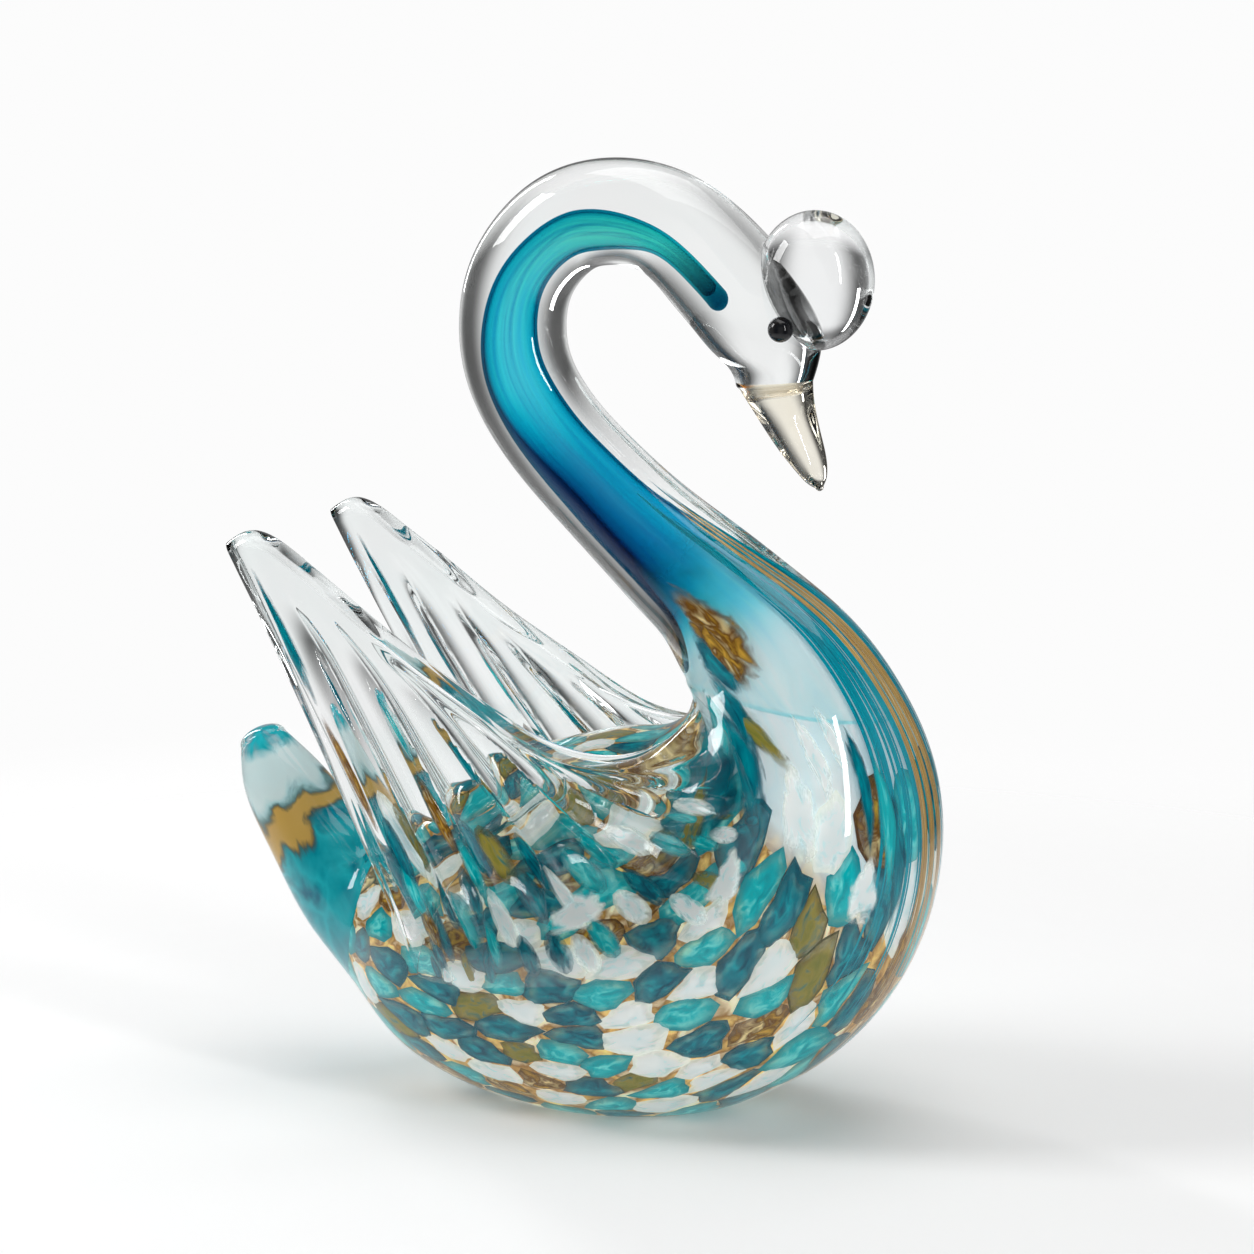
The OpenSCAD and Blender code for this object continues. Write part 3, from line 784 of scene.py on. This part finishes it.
eye_mat, tree, shader = start_material("black_glass", Roughness=0.08, IOR=1.45)
coords = add(tree, "TexCoord").outputs["Object"]
ink = place(tree, streaks, {"Vector": coords, "First": rgb(.004, .004, .005), "Scale": 300.0,
                            "Second": rgb(.008, .009, .012), "Third": rgb(.015, .012, .01)})
tree.links.new(ink.outputs["Colour"], shader.inputs["Base Color"])
for name, side in (("eye_left", 1), ("eye_right", -1)):
    bm = new_mesh()
    bead = bmesh.ops.create_uvsphere(bm, u_segments=32, v_segments=20, radius=2.6 * mm)["verts"]
    centre = section_point(section(EYE_S), side * EYE_PHI, -1.3)
    bmesh.ops.translate(bm, vec=Vector(centre), verts=bead)
    finish_piece(bm, name, eye_mat, "black_glass", name)

# %% [markdown]
# ## The beak
# The beak is a last bit of glass with a touch of amber, drawn to a point and pinched so that it
# has a ridge above and below. It has its own short list of sections, which start from the
# end of the head.

# %% Beak
BEAK_ROWS = [(0, 0, -177, .7, .62), (2.5, -6, -170, .52, .47), (5.3, -11.8, -163, .4, .39),
             (7.7, -16.3, -160, .3, .32), (9.2, -19.6, -160, .19, .22), (9.9, -21.3, -160, .07, .08)]
head_x, head_z = HEAD_ROWS[-1][:2]
beak_rows = [(head_x + x, head_z + z, tilt, h, w) for x, z, tilt, h, w in BEAK_ROWS]
beak_curve = spline(sized(beak_rows, HEAD_R))


def beak_surface(u, v):
    """The beak: a hollowed start that cups the head's end, a ridged section and a blunt tip."""
    cup, tip = .1, .08
    s = 5 * np.clip((v - cup) / (1 - cup - tip), 0, 1)
    q = beak_curve(s)
    start = np.clip(v / cup, 0, 1) * np.pi / 2
    end = np.clip(1 - (1 - v) / tip, 0, 1) * np.pi / 2
    phi = 2 * np.pi * u
    ridge = 1 + .07 * np.cos(4 * phi) * ease(0, 1.5, s)
    dome = .35 * (q[..., 3]) * np.cos(start) * (v < cup) - .3 * (1 - ease(0, .4, s))
    ahead = dome + q[..., 3] * np.sin(end)
    return section_point(q, phi, 0, 0, ahead, np.sin(start) * np.cos(end) * ridge)


bm = new_mesh()
bent_grid(bm, beak_surface, 48, 60)
finish_piece(bm, "beak", beak_glass, "amber_tint_glass", "beak")

# %% [markdown]
# ## Wings
# A wing is pulled from the hot body with pincers, then its face is combed into flutes. Each
# section of it runs from a thick rounded rim down to two roots, one on the flank and one on
# the back. Both sides land along the skin, so the wing grows out of the body. The flutes are
# convex bars with narrow valleys between them, cut along the wing's own normals. A valley
# is a little rounded, as a flame leaves it, and never cuts through the wall.

# %% Wing surface
RIM_ROWS = [(25, 17, 89), (15, 23, 80), (3, 26, 78.5), (-9, 27, 82), (-20, 27.5, 89), (-31, 27.5, 96),
            (-42, 27, 103.5), (-52, 27, 111), (-61, 26.5, 117.5), (-70, 26.5, 122.5), (-77, 26.5, 119.5)]
OUTER_ROOT = [(6.8, 100), (6.4, 94), (5.8, 91), (5.1, 89), (4.4, 88), (3.7, 86.5), (3.1, 85),
              (2.6, 83.5), (2.3, 82), (1.95, 81), (1.65, 80)]
INNER_ROOT = [(8.6, 145), (7.6, 152), (6.5, 155), (5.4, 155), (4.6, 153), (3.8, 150), (3.1, 147),
              (2.5, 138), (2.05, 123), (1.7, 102), (1.55, 82)]
rim_curve, outer_curve, inner_curve = spline(RIM_ROWS), spline(OUTER_ROOT), spline(INNER_ROOT)
WING_T, FLUTES, FLUTE_DEPTH, SOFT = 9.0, 8, 3.3, .09
# Cells of one section: rim arc, outer side, bottom, inner side, rim arc
CELLS = np.array([7, 40, 8, 40, 7])
RING = int(CELLS.sum())
STARTS = np.concatenate([[0], np.cumsum(CELLS)])


def bezier(p0, p1, p2, p3, t):
    t = t[..., None]
    return p0 * (1 - t) ** 3 + 3 * p1 * t * (1 - t) ** 2 + 3 * p2 * t * t * (1 - t) + p3 * t ** 3


def wing_base(u, v):
    """The wing without its flutes."""
    a = .5 - .5 * np.cos(np.pi * np.clip(v, 0, 1))
    a = .35 * a + .65 * v
    thin = np.sqrt(np.clip(1 - (np.clip(a - .955, 0, 1) / .045) ** 2, 0, 1))
    thin = thin * np.sqrt(np.clip(1 - (1 - np.clip(a / .1, 0, 1)) ** 2, 0, 1))
    row = a * (len(RIM_ROWS) - 1)
    m = rim_curve(row)
    ro, ri = outer_curve(row), inner_curve(row)
    mid = (ro + ri) / 2
    ro, ri = mid + (ro - mid) * thin[..., None], mid + (ri - mid) * thin[..., None]
    so, fo, si, fi = ro[..., 0], np.radians(ro[..., 1]), ri[..., 0], np.radians(ri[..., 1])

    def skin(s, f, d):
        return section_point(section(s), f, d) / mm
    po, pi_ = skin(so, fo, .1), skin(si, fi, .1)
    to = skin(so, fo + .02, .1) - po
    ti = skin(si, fi - .02, .1) - pi_
    to /= np.linalg.norm(to, axis=-1)[..., None]
    ti /= np.linalg.norm(ti, axis=-1)[..., None]
    y = np.array([0.0, 1.0, 0.0])
    down = (po + pi_) / 2 - m
    down[..., 1] = 0
    down /= np.linalg.norm(down, axis=-1)[..., None]
    half = (WING_T / 2 * thin)[..., None]
    m = m + down * half
    k = u * RING
    part = np.clip(np.searchsorted(STARTS, k, side="right") - 1, 0, 4)
    t = (k - STARTS[part]) / CELLS[part]
    out = np.empty(m.shape)
    reach_o = np.linalg.norm(po - m, axis=-1)[..., None]
    reach_i = np.linalg.norm(pi_ - m, axis=-1)[..., None]
    spread = .4 * np.linalg.norm(po - pi_, axis=-1)[..., None]
    flare_o = np.minimum(reach_o * .33 * thin[..., None], spread)
    flare_i = np.minimum(reach_i * .3 * thin[..., None], spread)
    arc = t * np.pi / 2
    rise = np.cos(arc)[..., None]
    swing = np.sin(arc)[..., None]
    side_o = bezier(m + y * half, m + y * half + down * reach_o * .35, po + to * flare_o, po, t)
    side_i = bezier(pi_, pi_ + ti * flare_i, m - y * half + down * reach_i * .35, m - y * half, t)
    bottom = skin(so + (si - so) * t, fo + (fi - fo) * t, .25)
    options = [m - down * half * rise + y * half * swing, side_o, bottom, side_i,
               m - y * half * rise - down * half * swing]
    for n, pts in enumerate(options):
        out = np.where((part == n)[..., None], pts, out)
    return out, part, t, a


def wing_frame(u, v):
    """The wing without its flutes, and the direction that points out of it."""
    e = 1e-3
    base, part, t, a = wing_base(u, v)
    du = wing_base(np.minimum(u + e, 1), v)[0] - wing_base(np.maximum(u - e, 0), v)[0]
    dv = wing_base(u, np.minimum(v + e, 1))[0] - wing_base(u, np.maximum(v - e, 0))[0]
    normal = np.cross(du, dv)
    normal /= np.maximum(np.linalg.norm(normal, axis=-1), 1e-9)[..., None]
    facing = np.sign(normal[..., 1]) * np.where(part == 1, 1, -1)
    return base, normal * facing[..., None], part, t, a


def slant(a):
    """How far a flute leans back as it runs down the wing."""
    return .04 + .3 * (1 - a) ** 2


def wing_surface(u, v):
    """The wing with its flutes: deep on the outer side, faint on the inner side."""
    base, outward, part, t, a = wing_frame(u, v)
    outer, inner = part == 1, part == 3
    drop = np.where(outer, t, 1 - t)
    sine = np.sin(np.pi * FLUTES * (a + slant(a) * drop))
    bar = (np.sqrt(sine ** 2 + SOFT ** 2) - SOFT) / (math.sqrt(1 + SOFT ** 2) - SOFT)
    fade = ease(.05, .24, drop) * (1 - .5 * ease(.75, 1, drop))
    fade = fade * ease(.03, .12, a) * (1 - ease(.975, 1, a))
    groove = FLUTE_DEPTH * (1 - bar ** .8) * fade * np.where(outer, 1, .06)
    gap = np.linalg.norm(base - wing_base(1 - u, v)[0], axis=-1)
    move = np.where(outer | inner, np.minimum(groove, .4 * gap), 0)
    return (base - outward * move[..., None]) * mm


bm = new_mesh()
verts = bent_grid(bm, wing_surface, RING, 260)
seat(verts, .22)
bmesh.ops.recalc_face_normals(bm, faces=bm.faces[:])
twin = bm.copy()
bmesh.ops.scale(twin, vec=(1, -1, 1), verts=twin.verts[:])
bmesh.ops.reverse_faces(twin, faces=twin.faces[:])
finish_piece(bm, "wing_left", wing_glass, "clear_glass", "wing_left")
finish_piece(twin, "wing_right", wing_glass, "clear_glass", "wing_right")

# %% [markdown]
# ## Colour drawn into the wings
# As a wing is pulled out of the body, chips near its root are drawn up into it. They follow the
# flutes and thin out towards the rim. They are the same pressed chips, placed this time by
# the wing's own u and v, a little deeper than the flutes are cut.

# %% Chips inside the wings
WING_LONG, WING_HIGH = 130.0, 42.0


def wing_flake(bm, v0, drop, long, wide, depth, tone, soft):
    """A chip inside the outer side of the wing; long runs down the wing along the flutes."""
    verts = bmesh.ops.create_uvsphere(bm, u_segments=12, v_segments=5, radius=1)["verts"]
    flow = bm.loops.layers.uv["UVMap"]
    mark, edge = bm.verts.layers.float["tone"], bm.verts.layers.float["soft"]
    flat = np.array([p.co[:] for p in verts])
    down = np.clip(drop + flat[:, 0] * long / WING_HIGH, .02, .99)
    v = v0 + flat[:, 1] * wide / WING_LONG - slant(v0) * (down - drop)
    base, outward, _, _, _ = wing_frame((CELLS[0] + CELLS[1] * down) / RING, np.clip(v, .01, .97))
    for p, co, where in zip(verts, base - outward * (depth - .5 * flat[:, 2])[:, None], flat):
        p.co = co * mm
        p[mark], p[edge] = tone, soft
        for loop in p.link_loops:
            loop[flow].uv = where[:2]


wing_bm = {c: new_mesh() for c in COLOURS}
for bm in wing_bm.values():
    bm.verts.layers.float.new("tone")
    bm.verts.layers.float.new("soft")
spots = []
for _ in range(1500):
    v0, drop = rng.uniform(.08, .93), rng.uniform(.5, .93)
    if rng.uniform() > ease(.42, .85, drop):
        continue
    if all(math.hypot((v0 - a) * WING_LONG / 4.2, (drop - b) * WING_HIGH / 8.0) > 1 for a, b in spots):
        spots.append((v0, drop))
        colour = COLOURS[int(rng.choice(len(COLOURS), p=[.2, .34, .26, .12, .08]))]
        wing_flake(wing_bm[colour], v0, drop, rng.uniform(3.0, 4.4), rng.uniform(2.3, 3.4),
                   rng.uniform(3.5, 4.6), rng.uniform(), .7)
for k in range(1, 7):
    drop = .26 + .03 * k
    v0 = 1 - k / FLUTES - slant(1 - k / FLUTES) * drop
    wing_flake(wing_bm["teal" if k % 2 else "aqua"], v0, drop, 3.4, .8, 3.6, .1 * k, 1.0)
for k, colour in enumerate(("teal", "aqua", "amber", "teal", "white")):
    wing_flake(wing_bm[colour], .872 + .006 * (k % 2), .58 + .09 * k, 3.2, 2.6, 1.9, .2 * k, .7)
wing_flake(wing_bm["teal"], .93, .16, 6.0, 2.6, 3.6, .3, 1.0)
wing_flake(wing_bm["amber"], .92, .42, 5.0, 1.3, 3.4, .7, 1.0)
for colour, bm in wing_bm.items():
    twin = bm.copy()
    bmesh.ops.scale(twin, vec=(1, -1, 1), verts=twin.verts[:])
    for side, chips in (("left", bm), ("right", twin)):
        bmesh.ops.recalc_face_normals(chips, faces=chips.faces[:])
        finish_piece(chips, "wing_" + colour + "_" + side, chip_mats[colour], SLOTS[colour])
print(len(spots), "chips in each wing")

# %% [markdown]
# ## The tail's core
# The tail is a lobe of clear glass over a streaked core of turquoise, white and amber.

# %% Tail core
bm = new_mesh()
bent_grid(bm, tube(-4.55, .1, lambda s: 2.4 + 1.6 * ease(-3, 0, s), .7, .3), 48, 60)
finish_piece(bm, "tail_core", tail_mat, "tail_aqua_glass", "tail_core")

# %% [markdown]
# ## Camera, floor and light
# Glass shows its surroundings, so the light is the other half of the material. The room is a
# white tent with narrow dark gaps between its soft boxes: the gaps draw the thin grey lines
# along the glass edges. The tent itself is seen as plain white.

# %% Camera
aim = Vector((.003, 0, .102))
azimuth, elevation, distance = math.radians(20), math.radians(10), .8
back = Vector((math.sin(azimuth) * math.cos(elevation), -math.cos(azimuth) * math.cos(elevation),
               math.sin(elevation)))
camera = bpy.data.objects.new("camera", bpy.data.cameras.new("camera"))
bpy.context.scene.collection.objects.link(camera)
camera.location = aim + back * distance
camera.rotation_mode = "QUATERNION"
camera.rotation_quaternion = (-back).to_track_quat("-Z", "Y")
camera.data.lens = 109.1
camera.data.sensor_width = 36
bpy.context.scene.camera = camera
print("camera at", [round(v, 3) for v in camera.location])

# %% [markdown]
# ## Floor
# The swan stands on white card that runs into a white background. The floor is a disc that
# takes a shadow and fades out a short way from the swan, so that no horizon shows.

# %% Floor
FLOOR_RADIUS, FADE_FROM, FADE_TO = 2.0, .12, .42
JUST_UNDER = .00005
bm = new_mesh()
bmesh.ops.create_circle(bm, cap_ends=True, segments=96, radius=FLOOR_RADIUS)
mesh = bpy.data.meshes.new("floor")
bm.to_mesh(mesh)
bm.free()
floor = bpy.data.objects.new("floor", mesh)
floor.location.z = -JUST_UNDER
bpy.context.scene.collection.objects.link(floor)
floor_mat, tree, shader = start_material("floor", Roughness=.9, Specular_IOR_Level=0.0)
shader.inputs["Base Color"].default_value = rgb(.95, .95, .95)
shader.inputs["Emission Color"].default_value = rgb(1, 1, 1)
shader.inputs["Emission Strength"].default_value = .10
coords = add(tree, "TexCoord").outputs["Object"]
far = add(tree, "VectorMath", {0: coords}, operation="LENGTH").outputs["Value"]
fade = ramp(tree, far, FADE_FROM, FADE_TO, (1.0, 0.0), smooth=True)
tree.links.new(fade, shader.inputs["Alpha"])
mesh.materials.append(floor_mat)
print("the floor fades out between", FADE_FROM, "and", FADE_TO, "m")

# %% [markdown]
# ## The white tent
# The world shader is the tent. A cosine of the heading makes four dark gaps, and two ramps of
# the height make a darker ring between the walls and the roof. The camera sees plain white
# instead, and mirror-like reflections see the tent dimmed, so that the chips keep
# their colour under the clear glass.

# %% World
GAPS, GAP_TURN, REFLECTED = 4.0, 110, .4
world = bpy.data.worlds.new("white tent")
world.use_nodes = True
bpy.context.scene.world = world
tree = world.node_tree
tree.nodes.clear()
direction = add(tree, "SeparateXYZ", {0: add(tree, "TexCoord").outputs["Generated"]})
heading = calc(tree, "ARCTAN2", direction.outputs["Y"], direction.outputs["X"])
turned = calc(tree, "SUBTRACT", heading, math.radians(GAP_TURN))
wave = calc(tree, "COSINE", calc(tree, "MULTIPLY", turned, GAPS))
gaps = ramp(tree, wave, -1.0, .8, (.06, .90), smooth=True)
height = direction.outputs["Z"]
ring_low = ramp(tree, height, .38, .62, (1.0, .25), smooth=True)
ring_high = ramp(tree, height, .72, .85, (0.0, .8), smooth=True)
ring = calc(tree, "ADD", ring_low, ring_high)
tent = calc(tree, "MULTIPLY", gaps, ring)
seen = add(tree, "LightPath").outputs["Is Camera Ray"]
shown = add(tree, "Background", {"Color": rgb(.973, .973, .973), "Strength": 1.0}).outputs[0]
mirrored = add(tree, "LightPath").outputs["Is Reflection Ray"]
dim = ramp(tree, mirrored, 0.0, 1.0, (1.0, REFLECTED))
tent = calc(tree, "MULTIPLY", tent, dim)
lit = add(tree, "Background", {"Color": rgb(1, 1, 1), "Strength": tent}).outputs[0]
mixed = add(tree, "MixShader", {0: seen, 1: lit, 2: shown}).outputs[0]
tree.links.new(mixed, tree.nodes.new("ShaderNodeOutputWorld").inputs["Surface"])
print("the tent has", len(tree.nodes), "nodes and", int(GAPS), "dark gaps")

# %% [markdown]
# ## Soft boxes
# Four soft boxes stand inside the tent: a key light at the left, one overhead, and two
# narrow strips whose long reflections run down the neck and the edges of the wings.


# %% Soft boxes
def soft_box(name, at, size, watts):
    """A rectangular light that looks at the swan; the camera does not see it."""
    light = bpy.data.lights.new(name, "AREA")
    light.shape = "RECTANGLE"
    light.size, light.size_y = size
    light.energy = watts
    lamp = bpy.data.objects.new(name, light)
    lamp.location = at
    lamp.rotation_mode = "QUATERNION"
    lamp.rotation_quaternion = (aim - Vector(at)).to_track_quat("-Z", "Y")
    bpy.context.scene.collection.objects.link(lamp)
    lamp.visible_camera = False
    print(name, "soft box", watts, "W")


soft_box("key", (-.90, -.35, .75), (.35, .5), 5.5)
soft_box("top", (.1, .1, 1.1), (.9, .9), 5.0)
soft_box("strip", (.85, -.45, .45), (.07, .7), 3.0)
soft_box("rear strip", (-.75, .55, .5), (.08, .7), 2.6)

scene = bpy.context.scene
scene.view_settings.view_transform = "Standard"
scene.cycles.max_bounces = 32
scene.cycles.transmission_bounces = 28
scene.cycles.transparent_max_bounces = 24
scene.cycles.sample_clamp_indirect = 6.0
